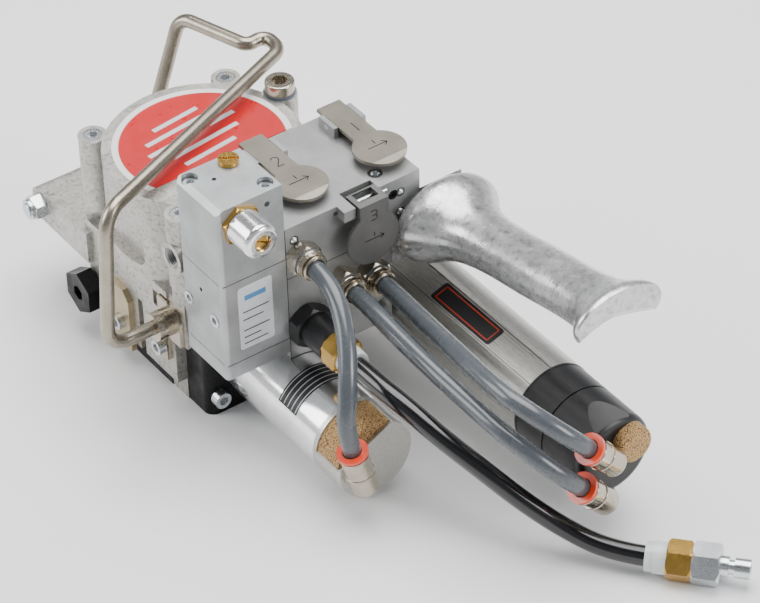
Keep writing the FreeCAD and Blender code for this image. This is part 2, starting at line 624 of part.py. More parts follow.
def tension_motor_cap():
    cap = cyl(at(TENSION_AXIS, x=TENSION_SHELL_X1), AX, TENSION_R - 0.2, TENSION_X1 - TENSION_SHELL_X1)
    cap = soften(cap, 5.0, lambda e: e.CenterOfMass.x > TENSION_X1 - 1 and e.Length > 100)
    bosses = [cyl(at(centre, x=PORT_BOSS_X0), AX, PORT_BOSS_R, TENSION_X1 - PORT_BOSS_X0)
              for centre in rear_elbow_centres()]
    slope = [V(x, TENSION_AXIS.y - 30, z) for x, z in ((139, 69.9), (157, 66.6), (157, 90), (139, 90))]
    sloped_flat = Part.Face(Part.makePolygon(slope + slope[:1])).extrude(V(0, 60, 0))
    cuts = [ring(at(TENSION_AXIS, x=128), AX, TENSION_R + 2, TENSION_R - 0.9, 1),
            sloped_flat,
            cyl(at(TENSION_AXIS, x=TENSION_SHELL_X1 - 1), AX, SHAFT_R + RUNNING, 10),
            cyl(REAR_SILENCER, AX, REAR_SILENCER_R + 0.1, 20)]
    cuts += [cyl(at(centre, x=TENSION_X1 - 6), AX, STEM_R + 0.05, 10) for centre in rear_elbow_centres()]
    return cut(fuse([cap, *bosses]), cuts)


def window_side(offset):
    """Everything beyond a slanted plane above the weld motor's axis."""
    angle = math.degrees(math.atan2(-WELD_WINDOW.y, WELD_WINDOW.z))
    return turned_box((FAR, 120, 60), (-200, -60, offset), WELD_AXIS, angle)


def weld_elbow_centre():
    return WELD_RING + WELD_RING_IN * WELD_ELBOW_REACH


def weld_motor_housing():
    length = WELD_SHELL_X1 - WELD_X0
    shell = cyl(at(WELD_AXIS, x=WELD_X0), AX, WELD_R, length)
    hollow = cyl(at(WELD_AXIS, x=WELD_X0 + 8), AX, 18.5, length)
    return cut(shell, [hollow, cyl(at(WELD_AXIS, x=WELD_X0 - 1), AX, SHAFT_R + RUNNING, 20)])


def weld_motor_end():
    end = cyl(at(WELD_AXIS, x=WELD_SHELL_X1), AX, WELD_R, WELD_X1 - WELD_SHELL_X1)
    end = soften(end, 1.5, lambda e: e.CenterOfMass.x > WELD_X1 - 1 and e.Length > 100)
    window = window_side(WELD_WINDOW_OFFSET).common(box(WELD_SHELL_X1 + 3, FAR, -FAR, FAR, -FAR, FAR))
    shaft = cyl(at(WELD_AXIS, x=WELD_SHELL_X1 - 1), AX, SHAFT_R + RUNNING, 8)
    return cut(end, [window, shaft, cyl(at(weld_elbow_centre(), x=WELD_X1 - 6), AX, STEM_R + 0.05, 20)])


def silencers():
    disc = cyl(at(WELD_AXIS, x=WELD_SHELL_X1 + 3), AX, WELD_R - 0.8, 18.5)
    weld = disc.common(window_side(WELD_WINDOW_OFFSET + 0.1))
    puck = cyl(REAR_SILENCER, AX, REAR_SILENCER_R, REAR_SILENCER_LENGTH)
    puck = soften(puck, 3.0, lambda e: e.CenterOfMass.x > REAR_SILENCER.x + 9 and e.Length > 50)
    return Part.makeCompound([weld, puck])


# ---------------------------------------------------------------- fittings and hoses
def hose_fitting(seat):
    hexagon = nut(seat, AX, 17, 8)
    collar = cyl(at(seat, x=8), AX, 8.0, 5)
    return hexagon.fuse(collar).cut(cyl(at(seat, x=9), AX, HOSE_R + 0.4, 6))


def elbow_barrel(ring_at, inward, length):
    barrel = cyl(ring_at + inward * RING_TRAVEL_GAP, inward, 7.6, length - RING_TRAVEL_GAP)
    return soften(barrel, 2.5, lambda e: (e.CenterOfMass - ring_at).Length > length - 2 and e.Length > 40)


def elbow_bore(ring_at, inward):
    return cyl(ring_at + inward, inward, 6.7, HOSE_STOP - 1)


def elbow(ring_at, inward, centre, face_x):
    """Push-in elbow: a barrel across the motor's end and a stem along X into its end face."""
    stem = cyl(at(centre, x=face_x - 5), AX, STEM_R, centre.x - face_x + 5)
    collar = cyl(at(centre, x=face_x), AX, 7.0, centre.x - face_x)
    length = (centre - ring_at).Length + 7
    body = fuse([elbow_barrel(ring_at, inward, length), stem, collar])
    return body.cut(elbow_bore(ring_at, inward))


def elbow_fittings():
    rear = [elbow(ring_at, REAR_RING_IN, centre, TENSION_X1)
            for ring_at, centre in zip((UPPER_RING, LOWER_RING), rear_elbow_centres())]
    return Part.makeCompound([*rear, elbow(WELD_RING, WELD_RING_IN, weld_elbow_centre(), WELD_X1)])


def release_ring(ring_at, inward):
    flange = cyl(ring_at, inward, 8.5, 1.8)
    sleeve = cyl(ring_at + inward, inward, 6.3, 5)
    return flange.fuse(sleeve).cut(cyl(ring_at - inward, inward, HOSE_R + 0.3, 12))


def air_swivel():
    return nut(INLET, AX, 22, 9).fuse(cyl(at(INLET, x=9), AX, 9.5, 17))


def inlet_nut():
    return nut(at(INLET, x=26), AX, 18, 12)


def inlet_collet():
    return soften(cyl(at(INLET, x=38), AX, 8.0, 8), 1.2, lambda e: e.CenterOfMass.x > 45 and e.Length > 40)


def plug_collet():
    rim = PLUG_START + PLUG_DIR * 4
    return cyl(PLUG_START, PLUG_DIR, 7.9, 11).fuse(cyl(rim, PLUG_DIR, 8.5, 7))


def plug_nut():
    return nut(PLUG_START + PLUG_DIR * 11, PLUG_DIR, 19, 13, turn=30)


def air_plug():
    hexagon = nut(PLUG_START + PLUG_DIR * 24, PLUG_DIR, 20, PLUG_HEX_LENGTH, turn=30)
    neck_at = PLUG_START + PLUG_DIR * (24 + PLUG_HEX_LENGTH)
    neck = cyl(neck_at, PLUG_DIR, 5.5, 4)
    waist = cyl(neck_at + PLUG_DIR * 4, PLUG_DIR, 3.8, 3)
    nose = cyl(neck_at + PLUG_DIR * 7, PLUG_DIR, 5.3, 8)
    bore = cyl(neck_at + PLUG_DIR * 6, PLUG_DIR, 2.4, 12)
    return fuse([hexagon, neck, waist, nose]).cut(bore)


# ---------------------------------------------------------------- handle
def handle_oval(x, z, half_width, half_height):
    """Upright oval square to X, wider than it is high."""
    centre = V(x, HANDLE_Y, z)
    ellipse = Part.Ellipse(V(x, HANDLE_Y + half_width, z), V(x, HANDLE_Y, z + half_height), centre)
    return Part.Wire(ellipse.toShape())


def lip_hollow():
    """Round bar that slopes up at 45 degrees and leaves the lip arched underneath."""
    slope = V(1, 0, 1).normalize()
    axis_point = LIP_TOP + V(1, 0, -1).normalize() * LIP_R
    return cyl(axis_point - slope * 80, slope, LIP_R, 140)


def handle():
    grip = Part.makeLoft([handle_oval(*station) for station in HANDLE_STATIONS], True, False)
    outline = [V(x, BLOCK_Y1, z) for x, z in ROOT_OUTLINE]
    root = Part.Face(Part.makePolygon(outline + outline[:1])).extrude(V(0, HANDLE_SIDE - BLOCK_Y1, 0))
    ear = box(-30, 2, PORT_Y1, BLOCK_Y1 + 1, 84, BLOCK_Z0)
    cuts = [lip_hollow()]
    for x in HANDLE_SCREW_X:
        cuts.append(cyl((x, HANDLE_SIDE - 5, HANDLE_SCREW_Z), AY, 4.7, 20))
        cuts.append(cyl((x, PORT_Y1 - 1, HANDLE_SCREW_Z), AY, 2.7, 60))
    return cut(fuse([grip, root, ear]), cuts)


# ---------------------------------------------------------------- every node, under its name
def nodes():
    return {
        "gear_housing": gear_housing(),
        "gear_case": gear_case(),
        "housing_cover": housing_cover(),
        "cover_label": cover_label(),
        "port_plug": port_plug(),
        "port_plug_seal": port_plug_seal(),
        "socket_screws": socket_screws(),
        "front_bolt": front_bolt(),
        "front_nut": front_nut(),
        "base_plate": base_plate(),
        "foot_block": foot_block(),
        "wear_plate": wear_plate(),
        "bail_clamp": bail_clamp(),
        "bail": bail(),
        "hex_eccentric": hex_eccentric(),
        "feed_wheel": feed_wheel(),
        "feed_bearing_block": feed_bearing_block(),
        "clamp_piston": clamp_piston(),
        "weld_jaw": weld_jaw(),
        "valve_block": valve_block(),
        "port_block": port_block(),
        "lever_pins": lever_pins(),
        "valve_lever_1": top_lever(LEVER_Y[0]),
        "valve_lever_2": top_lever(LEVER_Y[1]),
        "valve_lever_3": hanging_lever(),
        "valve_plunger_1": top_plunger(LEVER_Y[0]),
        "valve_plunger_2": top_plunger(LEVER_Y[1]),
        "valve_plunger_3": rear_plunger(),
        "timer_top": timer_top(),
        "timer_body": timer_body(),
        "timer_base": timer_slab(0),
        "timer_screws": timer_screws(),
        "timer_label": timer_label(),
        "throttle_screw": throttle_screw(),
        "regulator_collar": regulator_collar(),
        "regulator_cap": regulator_cap(),
        "regulator_screw": regulator_screw(),
        "tension_motor_housing": tension_motor_housing(),
        "tension_motor_cap": tension_motor_cap(),
        "tension_rotor": rotor(TENSION_AXIS, -33, 113, -24, 100),
        "weld_motor_housing": weld_motor_housing(),
        "weld_motor_end": weld_motor_end(),
        "weld_rotor": rotor(WELD_AXIS, -54, 51, -45, 40),
        "silencers": silencers(),
        "hose_fittings": Part.makeCompound([hose_fitting(seat) for seat in FITTINGS]),
        "elbow_fittings": elbow_fittings(),
        "release_ring_weld": release_ring(WELD_RING, WELD_RING_IN),
        "release_ring_upper": release_ring(UPPER_RING, REAR_RING_IN),
        "release_ring_lower": release_ring(LOWER_RING, REAR_RING_IN),
        "air_swivel": air_swivel(),
        "inlet_nut": inlet_nut(),
        "inlet_collet": inlet_collet(),
        "weld_hose": hose("weld_hose", WELD_HOSE, HOSE_R),
        "tension_hose_upper": hose("tension_hose_upper", UPPER_HOSE, HOSE_R),
        "tension_hose_lower": hose("tension_hose_lower", LOWER_HOSE, HOSE_R),
        "supply_hose": hose("supply_hose", SUPPLY_HOSE, SUPPLY_R),
        "plug_collet": plug_collet(),
        "plug_nut": plug_nut(),
        "air_plug": air_plug(),
        "handle": handle(),
    }


def main():
    os.makedirs("parts", exist_ok=True)
    for name, shape in nodes().items():
        if not shape.isValid():
            print("not valid:", name)
        shape.translate(ORIGIN_SHIFT)
        shape.exportStep(os.path.join("parts", name + ".step"))


main()
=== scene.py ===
import json
import math

import bmesh
import bpy
from mathutils import Matrix, Vector


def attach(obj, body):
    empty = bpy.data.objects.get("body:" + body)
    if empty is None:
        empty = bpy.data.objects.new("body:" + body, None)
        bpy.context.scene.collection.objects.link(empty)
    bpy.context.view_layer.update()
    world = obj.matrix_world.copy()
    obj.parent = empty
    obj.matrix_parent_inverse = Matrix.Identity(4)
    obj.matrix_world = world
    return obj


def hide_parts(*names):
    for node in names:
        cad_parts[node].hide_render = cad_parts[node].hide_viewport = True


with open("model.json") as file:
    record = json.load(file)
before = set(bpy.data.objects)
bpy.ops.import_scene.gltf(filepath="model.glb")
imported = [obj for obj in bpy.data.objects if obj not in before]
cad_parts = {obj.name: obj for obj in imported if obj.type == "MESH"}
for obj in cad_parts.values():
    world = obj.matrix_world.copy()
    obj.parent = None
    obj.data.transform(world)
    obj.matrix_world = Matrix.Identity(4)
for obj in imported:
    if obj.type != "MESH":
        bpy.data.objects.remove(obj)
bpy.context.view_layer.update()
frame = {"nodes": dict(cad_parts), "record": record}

# ---------------------------------------------------------------- camera and frame, in metres
SENSOR_MM = 36.0
LENS_MM = 170.76
CAMERA_AT = Vector((1.227255, -0.796268, 1.274006))
CAMERA_RIGHT = Vector((0.580542, 0.813813, -0.026085))
CAMERA_DOWN = Vector((0.505813, -0.385562, -0.771683))
CAMERA_FORWARD = Vector((-0.638063, 0.434800, -0.635472))
CLIP_NEAR, CLIP_FAR = 0.1, 20.0
FLOOR_HALF_SIDE = 6.0
LIGHT_TARGET = Vector((0, 0, 0.06))
DATUM = Vector((0.00925, -0.06322, 0.0))     # from the block's corner to the frame's origin
HOSE_D = 0.010
SUPPLY_D = 0.011

# ---------------------------------------------------------------- hose routes, in mm from the datum
WELD_ROUTE = ((9, 48, 116.5), (24, 48, 116.5), (41, 44.5, 110.5), (57.5, 37, 99.5), (70.5, 27.5, 84),
              (77, 20.5, 62.8), (77, 26.13, 41.36))
UPPER_ROUTE = ((9, 90.4, 85), (26, 90.4, 85), (47.5, 87.7, 87.6), (76, 84.2, 91.6), (105, 80.6, 95.4),
               (133.7, 77.8, 98.5), (149.1, 81.6, 96.1), (161.3, 89.2, 89.1), (168, 99.3, 78.6),
               (168, 110.92, 65.52))
LOWER_ROUTE = ((9, 71.9, 88), (25, 71.9, 88), (47.3, 71.1, 86.2), (76, 70.7, 84.2), (106, 71.8, 81.6),
               (136.5, 72.9, 79.6), (151, 77.3, 74.6), (162.1, 85, 65.9), (168, 94.9, 54.8),
               (168, 106.52, 41.72))
SUPPLY_ROUTE = ((46, 50, 71.5), (64, 50, 71.5), (84, 53, 69), (106, 58.5, 61), (127, 69, 48.5),
                (144, 81.5, 32.5), (161, 96, 17.6), (181.7, 108.3, 11), (196, 121, 10.4))

# ---------------------------------------------------------------- places on the tool, in mm from the datum
MM_PER_M = 1000
X, Y, Z = Vector((1, 0, 0)), Vector((0, 1, 0)), Vector((0, 0, 1))
DRUM = Vector((-94.5, 51.6, 130.4))
# radii in metres where the red ends, the white begins and the white ends, and the span they lie in
LABEL_RING = (0.0447, 0.0452, 0.0484)
LABEL_SPAN = (0.040, 0.050)
WELD_AXIS = Vector((0, 43.8, 27.4))
WELD_R = 23.3
TENSION_AXIS = Vector((0, 130, 46))
TENSION_JOINT_X = 105.7
FACET = 22.7                                 # from the tension motor's axis to its flat
FACET_NORMAL = Vector((0, -0.309, 0.951))
FACET_ACROSS = Vector((0, 0.951, 0.309))
FITTINGS = ((48, 116.5), (71.9, 88), (90.4, 85))
BALL_PLUGS = ((45, 127.5), (111.7, 114.8), (112.1, 127.3))
BALL_R = 2.2
BALL_BACK = 0.9                              # how far the ball's centre lies below the face
SIDE_PORT = (Vector((-50, 1, 105)), Y, 6.0, 11)          # mouth, way in, radius, threaded length
SPARE_PORT = (Vector((0, 98.2, 57.9)), -X, 4.5, 8)
REAR_IN = Vector((0, 0.665, -0.747)).normalized()
WELD_IN = Vector((0, 0.254, -0.967)).normalized()
# release ring's place, way in, and how far in the elbow's waist lies
ELBOWS = {"upper": (Vector((168, 105.6, 71.5)), REAR_IN, 11.8),
          "lower": (Vector((168, 101.2, 47.7)), REAR_IN, 11.8),
          "weld": (Vector((77, 24.1, 49.1)), WELD_IN, 16.5)}
ELBOW_MOUTH = 3.2
BLOCK_Y = 39.5                               # where the timer ends and the valve block begins
BLOCK_Z = 104                                # where the port block ends and the valve block begins
TIMER_Z = (65, 117.5)                        # joints between the timer's three slabs
TIMER_LABEL_X = 0.3
LEVER_TOP = 143
LEVER_3_FACE = 10

# ---------------------------------------------------------------- small sizes, in mm
SINK = 0.05                                  # how deep a bar or plate is set into its face
WRAP_SINK = 0.1
THREAD_PITCH = 1.25
THREAD_START = 0.3
THREAD_DEPTH = 0.75
CORNER_STEPS = 5
WRAP_STEPS = 28
TURN_STEPS = 56
FINE_TURN_STEPS = 96
SHARP_DEG = 32
MERGE_M = 1e-7
# noise lies mostly between these two levels
NOISE_LOW, NOISE_HIGH = 0.3, 0.7


def at(point):
    """A point in mm from the datum, as a place in the frame."""
    return Vector(point) / MM_PER_M + DATUM


# ---------------------------------------------------------------- material building blocks
class Nodes:
    """A new node material with its Principled shader and short calls that add nodes."""

    def __init__(self, name, color, metallic=0.0, roughness=0.5, **sockets):
        self.material = bpy.data.materials.new(name)
        self.material.use_nodes = True
        self.tree = self.material.node_tree
        self.shader = next(n for n in self.tree.nodes if n.type == "BSDF_PRINCIPLED")
        self.set("Base Color", (*color, 1.0))
        self.set("Metallic", metallic)
        self.set("Roughness", roughness)
        for socket, value in sockets.items():
            self.set(socket.replace("_", " "), value)
        self.place = self.add("ShaderNodeTexCoord").outputs["Object"]

    def set(self, socket, value):
        self.shader.inputs[socket].default_value = value

    def add(self, kind, **values):
        node = self.tree.nodes.new(kind)
        for key, value in values.items():
            if hasattr(node, key):
                setattr(node, key, value)
            else:
                node.inputs[key.replace("_", " ")].default_value = value
        return node

    def link(self, out, socket):
        self.tree.links.new(out, socket)

    def stretched(self, scale):
        """Object coordinates scaled along each axis."""
        mapping = self.add("ShaderNodeMapping")
        mapping.inputs["Scale"].default_value = scale
        self.link(self.place, mapping.inputs["Vector"])
        return mapping.outputs["Vector"]

    def noise(self, scale, detail=4.0, rough=0.55, vector=None):
        node = self.add("ShaderNodeTexNoise", Scale=scale, Detail=detail, Roughness=rough)
        self.link(vector or self.place, node.inputs["Vector"])
        return node.outputs["Fac"]

    def cells(self, scale):
        node = self.add("ShaderNodeTexVoronoi", Scale=scale)
        self.link(self.place, node.inputs["Vector"])
        return node.outputs["Distance"]

    def ramp(self, fac, stops):
        node = self.add("ShaderNodeValToRGB")
        elements = node.color_ramp.elements
        while len(elements) < len(stops):
            elements.new(0.5)
        for element, (position, color) in zip(elements, stops):
            element.position = position
            element.color = (*color, 1.0)
        self.link(fac, node.inputs["Fac"])
        return node.outputs["Color"]

    def level(self, fac, low, high, at_low, at_high):
        node = self.add("ShaderNodeMapRange")
        for key, value in (("From Min", low), ("From Max", high), ("To Min", at_low), ("To Max", at_high)):
            node.inputs[key].default_value = value
        self.link(fac, node.inputs["Value"])
        return node.outputs["Result"]

    def colour(self, fac, stops):
        self.link(self.ramp(fac, stops), self.shader.inputs["Base Color"])

    def rough(self, fac, at_low, at_high):
        level = self.level(fac, NOISE_LOW, NOISE_HIGH, at_low, at_high)
        self.link(level, self.shader.inputs["Roughness"])

    def bump(self, fac, strength, distance):
        node = self.add("ShaderNodeBump", Strength=strength, Distance=distance)
        self.link(fac, node.inputs["Height"])
        before = self.shader.inputs["Normal"]
        if before.is_linked:
            self.link(before.links[0].from_socket, node.inputs["Normal"])
        self.link(node.outputs["Normal"], before)


def shade(color, share):
    """The colour made lighter or darker."""
    return tuple(min(1.0, c * share) for c in color)


def cast_metal(name, color, roughness, pit, spots):
    """Rough sand casting: broad lumps, fine pits and darker specks."""
    m = Nodes(name, color, metallic=0.75, roughness=roughness)
    lumps = m.noise(90, 5)
    specks = m.noise(spots, 6, 0.7)
    m.colour(specks, ((0.32, shade(color, 0.40)), (0.45, shade(color, 0.86)), (0.70, shade(color, 1.15))))
    m.rough(lumps, roughness - 0.10, roughness + 0.15)
    m.bump(lumps, 0.5, 0.0006)
    m.bump(m.noise(900, 4), pit, 0.0003)
    return m.material


def machined(name, color, roughness, scale, metallic=0.9, depth=0.2):
    """Turned, milled or brushed metal: fine lines along one direction and slight stains."""
    m = Nodes(name, color, metallic=metallic, roughness=roughness)
    lines = m.noise(1.0, 3, 0.6, m.stretched(scale))
    stains = m.noise(60, 3)
    m.colour(stains, ((0.30, shade(color, 0.84)), (0.70, shade(color, 1.10))))
    m.rough(lines, roughness - 0.06, roughness + 0.10)
    m.bump(lines, depth, 0.00008)
    return m.material


def moulded(name, color, roughness, grain, coat=0.0):
    """Moulded plastic or rubber: fine grain and faint marks."""
    m = Nodes(name, color, roughness=roughness, Coat_Weight=coat, Coat_Roughness=0.08)
    marks = m.noise(120, 4)
    m.colour(marks, ((0.25, shade(color, 0.93)), (0.75, shade(color, 1.06))))
    m.rough(marks, roughness - 0.01, roughness + 0.03)
    m.bump(m.noise(grain, 3), 0.15, 0.00006)
    return m.material


def sintered(name, color):
    """Porous bronze: packed round grains, with painted shade darkening the gaps between them."""
    m = Nodes(name, color, metallic=0.55, roughness=0.55)
    grains = m.cells(1300)
    # painted shade: the colour goes from light at each grain's centre to nearly black in the gaps between
    # grains
    m.colour(grains, ((0.05, (0.78, 0.56, 0.30)), (0.45, (0.50, 0.30, 0.12)), (0.85, (0.10, 0.05, 0.02))))
    inverse = m.level(grains, 0.0, 0.8, 1.0, 0.0)
    m.bump(inverse, 0.9, 0.0006)
    return m.material


def printed_label(name, color):
    """Printed film: nearly even colour under a thin gloss."""
    m = Nodes(name, color, roughness=0.32, Coat_Weight=0.4, Coat_Roughness=0.15)
    marks = m.noise(200, 3)
    m.colour(marks, ((0.3, shade(color, 0.94)), (0.7, shade(color, 1.05))))
    m.bump(m.noise(1200, 2), 0.05, 0.00003)
    return m.material


def ringed_label(name, red, white):
    """Printed disc: red with a white ring round its rim."""
    m = Nodes(name, red, roughness=0.32, Coat_Weight=0.4, Coat_Roughness=0.15)
    flat = m.stretched((1, 1, 0))
    centre = at(DRUM) * Vector((1, 1, 0))
    distance = m.add("ShaderNodeVectorMath", operation="DISTANCE")
    distance.inputs[1].default_value = centre
    m.link(flat, distance.inputs[0])
    red_end, white_start, white_end = LABEL_RING
    inside, outside = LABEL_SPAN
    share = m.level(distance.outputs["Value"], inside, outside, 0.0, 1.0)
    stops = [((r - inside) / (outside - inside), c)
             for r, c in ((red_end, red), (white_start, white), (white_end, white))]
    m.colour(share, (*stops, (0.88, shade(red, 0.9))))
    m.rough(m.noise(160, 3), 0.26, 0.44)
    m.bump(m.noise(1200, 2), 0.05, 0.00003)
    return m.material


def grooved(name, color, roughness):
    """Extruded motor body: fine lines along X, broad stains and faint handling marks."""
    m = Nodes(name, color, metallic=0.85, roughness=roughness)
    lines = m.noise(1.0, 4, 0.65, m.stretched((18, 2600, 2600)))
    scuffs = m.noise(1.0, 3, 0.6, m.stretched((260, 900, 900)))
    m.colour(scuffs, ((0.28, shade(color, 0.80)), (0.45, shade(color, 0.98)), (0.75, shade(color, 1.10))))
    m.rough(lines, roughness - 0.05, roughness + 0.14)
    m.bump(lines, 0.25, 0.00012)
    m.bump(scuffs, 0.10, 0.00010)
    return m.material


def make_materials():
    return {
        "cast_aluminium": cast_metal("cast_aluminium", (0.50, 0.485, 0.45), 0.38, 0.60, 420),
        "handle_aluminium": cast_metal("handle_aluminium", (0.60, 0.60, 0.60), 0.24, 0.20, 260),
        "anodised_block": machined("anodised_block", (0.34, 0.345, 0.34), 0.38, (300, 3000, 3000), 0.6),
        "timer_aluminium": machined("timer_aluminium", (0.40, 0.415, 0.42), 0.36, (3000, 3000, 300), 0.6),
        "motor_aluminium": grooved("motor_aluminium", (0.50, 0.49, 0.46), 0.28),
        "polished_aluminium": machined("polished_aluminium", (0.86, 0.86, 0.87), 0.14, (4000, 200, 200),
                                       depth=0.08),
        "nickel": machined("nickel", (0.48, 0.43, 0.35), 0.20, (4000, 300, 300), 1.0, 0.08),
        "zinc_steel": machined("zinc_steel", (0.66, 0.69, 0.71), 0.24, (2500, 2500, 600), 1.0, 0.1),
        "tool_steel": machined("tool_steel", (0.24, 0.24, 0.24), 0.30, (900, 3000, 900), 1.0, 0.2),
        "lever_steel": machined("lever_steel", (0.26, 0.24, 0.20), 0.36, (200, 4000, 4000), 0.9, 0.15),
        "lever_grey": machined("lever_grey", (0.16, 0.16, 0.155), 0.42, (4000, 4000, 200), 0.85, 0.15),
        "bail_wire": machined("bail_wire", (0.36, 0.32, 0.26), 0.30, (1500, 1500, 1500), 1.0, 0.12),
        "wear_steel": machined("wear_steel", (0.52, 0.43, 0.28), 0.35, (3000, 3000, 300), 0.85, 0.2),
        "black_steel": cast_metal("black_steel", (0.012, 0.012, 0.013), 0.40, 0.15, 600),
        "black_plastic": moulded("black_plastic", (0.007, 0.007, 0.008), 0.38, 1800),
        "grey_plastic": moulded("grey_plastic", (0.62, 0.65, 0.65), 0.30, 900, 0.2),
        "red_plastic": moulded("red_plastic", (0.75, 0.05, 0.008), 0.30, 900, 0.4),
        "brass": machined("brass", (0.72, 0.44, 0.11), 0.16, (3000, 400, 400), 1.0, 0.08),
        "bronze": sintered("bronze", (0.55, 0.31, 0.11)),
        "red_label": ringed_label("red_label", (0.52, 0.006, 0.008), (0.80, 0.80, 0.78)),
        "blue_print": printed_label("blue_print", (0.06, 0.22, 0.48)),
        "white_label": printed_label("white_label", (0.62, 0.65, 0.67)),
        "seal_rubber": moulded("seal_rubber", (0.10, 0.12, 0.15), 0.55, 1500),
        "grey_hose": moulded("grey_hose", (0.070, 0.080, 0.090), 0.26, 500, 0.35),
        "black_hose": moulded("black_hose", (0.004, 0.004, 0.005), 0.20, 500, 0.4),
    }


# ---------------------------------------------------------------- the frame's nodes
def dress_nodes(materials):
    """Give each CAD node the material of its slot."""
    slot_of = {part["node"]: part["material_slot"] for part in frame["record"]["subparts"]}
    for name, node in frame["nodes"].items():
        if not node.material_slots:
            node.data.materials.append(None)
        for material_slot in node.material_slots:
            material_slot.material = materials[slot_of[name]]


# ---------------------------------------------------------------- hoses
def hose_curve(name, route, diameter, material):
    """Smooth tube along a route, and the route's points in the frame."""
    points = [at(point) for point in route]
    data = bpy.data.curves.new(name, "CURVE")
    data.dimensions = "3D"
    data.bevel_depth = diameter / 2
    data.bevel_resolution = 8
    data.resolution_u = 16
    spline = data.splines.new("NURBS")
    spline.points.add(len(points) - 1)
    for knot, point in zip(spline.points, points):
        knot.co = (*point, 1.0)
    spline.order_u = 3
    spline.use_endpoint_u = True
    data.materials.append(material)
    piece = bpy.data.objects.new(name, data)
    bpy.context.scene.collection.objects.link(piece)
    return piece, points


def add_hose(node, route, diameter, material):
    piece, points = hose_curve(node + "_smooth", route, diameter, material)
    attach(piece, "frame")
    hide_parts(node)


def add_hoses(materials):
    grey = materials["grey_hose"]
    add_hose("weld_hose", WELD_ROUTE, HOSE_D, grey)
    add_hose("tension_hose_upper", UPPER_ROUTE, HOSE_D, grey)
    add_hose("tension_hose_lower", LOWER_ROUTE, HOSE_D, grey)
    add_hose("supply_hose", SUPPLY_ROUTE, SUPPLY_D, materials["black_hose"])


# ---------------------------------------------------------------- mesh pieces
def add_piece(name, shape, slot, materials, body):
    """Close the mesh, shade it, and let it ride on its body."""
    bmesh.ops.remove_doubles(shape, verts=shape.verts[:], dist=MERGE_M)
    bmesh.ops.recalc_face_normals(shape, faces=shape.faces[:])
    mesh = bpy.data.meshes.new(name)
    shape.to_mesh(mesh)
    shape.free()
    mesh.shade_smooth()
    mesh.set_sharp_from_angle(angle=math.radians(SHARP_DEG))
    mesh.materials.append(materials[slot])
    piece = bpy.data.objects.new(name, mesh)
    bpy.context.scene.collection.objects.link(piece)
    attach(piece, body)


def lathe(name, base, axis, profile, slot, materials, body="frame", steps=TURN_STEPS):
    """Closed piece turned about an axis, from (along, radius) points in mm."""
    shape = bmesh.new()
    axis = Vector(axis).normalized()
    u = axis.orthogonal().normalized()
    v = axis.cross(u)
    rings = []
    for k in range(steps):
        angle = 2 * math.pi * k / steps
        out = u * math.cos(angle) + v * math.sin(angle)
        rings.append([shape.verts.new(at(Vector(base) + axis * t + out * r)) for t, r in profile])
    for ring, after in zip(rings, rings[1:] + rings[:1]):
        for i in range(len(profile)):
            j = (i + 1) % len(profile)
            corners = (ring[i], after[i], after[j], ring[j])
            if profile[i][1] > 0 or profile[j][1] > 0:
                shape.faces.new(corners)
    add_piece(name, shape, slot, materials, body)


def strokes(name, lines, normal, width, height, slot, materials, body="frame"):
    """Thin closed bars that follow lines on a face, in mm."""
    shape = bmesh.new()
    normal = Vector(normal).normalized()
    for line in lines:
        for start, end in zip(line, line[1:]):
            start, end = Vector(start), Vector(end)
            side = normal.cross((end - start).normalized()) * width / 2
            low, high = normal * -SINK, normal * height
            base = [start - side, end - side, end + side, start + side]
            bottom = [shape.verts.new(at(point + low)) for point in base]
            top = [shape.verts.new(at(point + high)) for point in base]
            shape.faces.new(bottom[::-1])
            shape.faces.new(top)
            for i in range(4):
                shape.faces.new((bottom[i], bottom[(i + 1) % 4], top[(i + 1) % 4], top[i]))
    add_piece(name, shape, slot, materials, body)


def rounded(corners, radius):
    """The outline with each corner rounded."""
    points = []
    count = len(corners)
    for i in range(count):
        before, corner, after = (Vector(corners[(i + k) % count]) for k in (-1, 0, 1))
        start = corner + (before - corner).normalized() * radius
        end = corner + (after - corner).normalized() * radius
        for k in range(CORNER_STEPS + 1):
            t = k / CORNER_STEPS
            points.append(start * (1 - t) ** 2 + corner * 2 * t * (1 - t) + end * t ** 2)
    return points


def panel(name, corners, normal, height, radius, slot, materials):
    """Flat plate with rounded corners that stands slightly proud of a face."""
    shape = bmesh.new()
    normal = Vector(normal).normalized()
    outline = rounded(corners, radius)
    bottom = [shape.verts.new(at(point - normal * SINK)) for point in outline]
    top = [shape.verts.new(at(point + normal * height)) for point in outline]
    shape.faces.new(bottom[::-1])
    shape.faces.new(top)
    for i in range(len(outline)):
        j = (i + 1) % len(outline)
        shape.faces.new((bottom[i], bottom[j], top[j], top[i]))
    add_piece(name, shape, slot, materials, "frame")


def wrapped(name, centre, radius, x0, x1, from_deg, to_deg, height, slot, materials):
    """Curved plate laid round a cylinder along X."""
    shape = bmesh.new()
    rows = []
    low, high = radius - WRAP_SINK, radius + height
    for k in range(WRAP_STEPS + 1):
        angle = math.radians(from_deg + (to_deg - from_deg) * k / WRAP_STEPS)
        out = Vector((0, math.cos(angle), math.sin(angle)))
        rows.append([shape.verts.new(at(Vector((x, centre.y, centre.z)) + out * r))
                     for x, r in ((x0, low), (x1, low), (x1, high), (x0, high))])
    for row, after in zip(rows, rows[1:]):
        for i in range(4):
            shape.faces.new((row[i], row[(i + 1) % 4], after[(i + 1) % 4], after[i]))
    shape.faces.new(rows[0][::-1])
    shape.faces.new(rows[-1])
    add_piece(name, shape, slot, materials, "frame")


